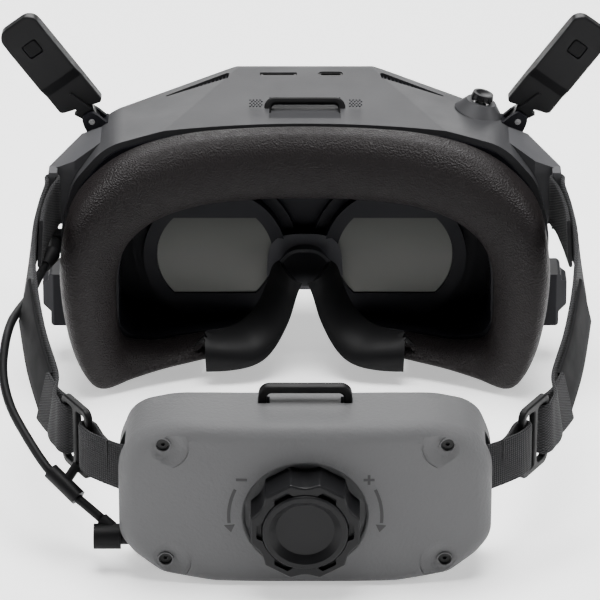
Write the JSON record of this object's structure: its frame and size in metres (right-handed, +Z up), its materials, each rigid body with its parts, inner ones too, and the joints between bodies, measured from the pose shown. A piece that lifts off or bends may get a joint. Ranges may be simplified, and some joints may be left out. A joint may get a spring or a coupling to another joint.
{
  "type": "fpv goggles",
  "caption": "Drone pilot's goggles with folding antennas, face pad, head loop and a rear battery pack tightened by a dial.",
  "frame": {"origin": "centre of the underside of the whole object, on the surface it stands on", "axes": "+Y forwards from the battery pack to the goggle box, +Z up, +X to the wearer's right"},
  "size_m": [0.2382, 0.2648, 0.1384],
  "materials": {
    "casing_plastic": "satin dark grey moulding",
    "visor_plastic": "smoked gloss",
    "frame_plastic": "fine texture",
    "lens_glass": "polished",
    "screen_glass": "gloss",
    "circuit_board": "solder mask",
    "bare_aluminium": "bead blasted",
    "screw_steel": "blackened",
    "pin_steel": "turned",
    "pad_foam": "open-cell foam with soft cloth face",
    "soft_rubber": "moulded",
    "webbing": "woven",
    "elastic": "woven elastic",
    "buckle_plastic": "smooth",
    "antenna_plastic": "satin",
    "pack_plastic": "fine spark texture",
    "dial_plastic": "satin",
    "gear_plastic": "natural acetal",
    "cell_wrap": "film"
  },
  "bodies": {
    "goggles": {"front_casing": "casing_plastic", "visor_cover": "visor_plastic", "face_frame": "frame_plastic", "nose_bridge": "frame_plastic", "lens_left": "lens_glass", "lens_right": "lens_glass", "lens_retainers": "frame_plastic", "optics_tunnel": "frame_plastic", "display_panel": "screen_glass", "main_board": "circuit_board", "heat_sink": "bare_aluminium", "fan_housing": "frame_plastic", "vent_grilles": "frame_plastic", "top_strap_loop": "buckle_plastic", "usb_socket": "pin_steel", "card_slot": "pin_steel", "frame_screws": "screw_steel", "face_pad": "pad_foam", "nose_flap_left": "soft_rubber", "nose_flap_right": "soft_rubber", "strap_arm_left": "frame_plastic", "strap_arm_right": "frame_plastic", "side_bracket_left": "frame_plastic", "side_bracket_right": "frame_plastic", "side_strap_left": "webbing", "side_strap_right": "webbing", "strap_tabs": "webbing", "buckle_left": "buckle_plastic", "buckle_right": "buckle_plastic", "rear_strap_left": "elastic", "rear_strap_right": "elastic", "power_lead": "soft_rubber", "lead_plug": "soft_rubber", "lead_clip": "buckle_plastic", "antenna_bracket_left": "frame_plastic", "antenna_bracket_right": "frame_plastic", "antenna_pins": "pin_steel", "stick_collar": "casing_plastic"},
    "antenna_left": {"antenna_blade_left": "antenna_plastic", "antenna_plug_left": "soft_rubber"},
    "antenna_right": {"antenna_blade_right": "antenna_plastic", "antenna_plug_right": "soft_rubber"},
    "stick_ring": {"stick_gimbal": "pin_steel"},
    "stick_rod": {"stick_stem": "pin_steel"},
    "stick_button": {"stick_cap": "dial_plastic"},
    "fan": {"fan_rotor": "frame_plastic"},
    "pack": {"pack_rear_casing": "pack_plastic", "pack_front_casing": "pack_plastic", "pack_screws": "screw_steel", "pack_strap_loop": "buckle_plastic", "battery_cells": "cell_wrap", "pack_board": "circuit_board", "head_pad": "pad_foam", "lead_elbow": "soft_rubber"},
    "dial": {"dial_wheel": "dial_plastic", "dial_cap": "dial_plastic", "dial_pinion": "gear_plastic", "dial_screw": "screw_steel"},
    "left_rack": {"rack_left": "gear_plastic"},
    "right_rack": {"rack_right": "gear_plastic"}
  },
  "joints": [
    {"name": "antenna_left_fold", "type": "hinge", "parent": "goggles", "child": "antenna_left", "pos_m": [-0.084, 0.09735, 0.0945], "axis": [0, -1, 0], "range_deg": [-28, 66]},
    {"name": "antenna_right_fold", "type": "hinge", "parent": "goggles", "child": "antenna_right", "pos_m": [0.084, 0.09735, 0.0945], "axis": [0, 1, 0], "range_deg": [-28, 66]},
    {"name": "stick_forward", "type": "hinge", "parent": "goggles", "child": "stick_ring", "pos_m": [0.06919, 0.09885, 0.09925], "axis": [0.9703, 0, -0.2419], "range_deg": [-8, 8], "stiffness_Nm_per_rad": 0.05},
    {"name": "stick_sideways", "type": "hinge", "parent": "stick_ring", "child": "stick_rod", "pos_m": [0.06919, 0.09885, 0.09925], "axis": [0, 1, 0], "range_deg": [-8, 8], "stiffness_Nm_per_rad": 0.05},
    {"name": "stick_press", "type": "slide", "parent": "stick_rod", "child": "stick_button", "axis": [-0.2419, 0, -0.9703], "range_m": [0, 0.0003], "stiffness_N_per_m": 3000},
    {"name": "fan_spin", "type": "hinge", "parent": "goggles", "child": "fan", "pos_m": [0, 0.09905, 0.088], "axis": [0, 0, 1], "continuous": true},
    {"name": "pack_reach", "type": "slide", "parent": "goggles", "child": "pack", "axis": [0, 1, 0], "range_m": [-0.01, 0.012], "deforming": ["rear_strap_left", "rear_strap_right", "power_lead"]},
    {"name": "dial_turn", "type": "hinge", "parent": "pack", "child": "dial", "pos_m": [0, -0.10578, 0.03071], "axis": [0, 0.9962, 0.0872], "range_deg": [-43, 51.6]},
    {"name": "left_rack_slide", "type": "slide", "parent": "pack", "child": "left_rack", "axis": [1, 0, 0], "range_m": [-0.0046, 0.0055]},
    {"name": "right_rack_slide", "type": "slide", "parent": "pack", "child": "right_rack", "axis": [-1, 0, 0], "range_m": [-0.0046, 0.0055]}
  ],
  "couplings": [
    {"joint": "dial_turn", "follows": "pack_reach", "rad_per_m": 75},
    {"joint": "left_rack_slide", "follows": "pack_reach", "ratio": 0.45},
    {"joint": "right_rack_slide", "follows": "pack_reach", "ratio": 0.45}
  ]
}
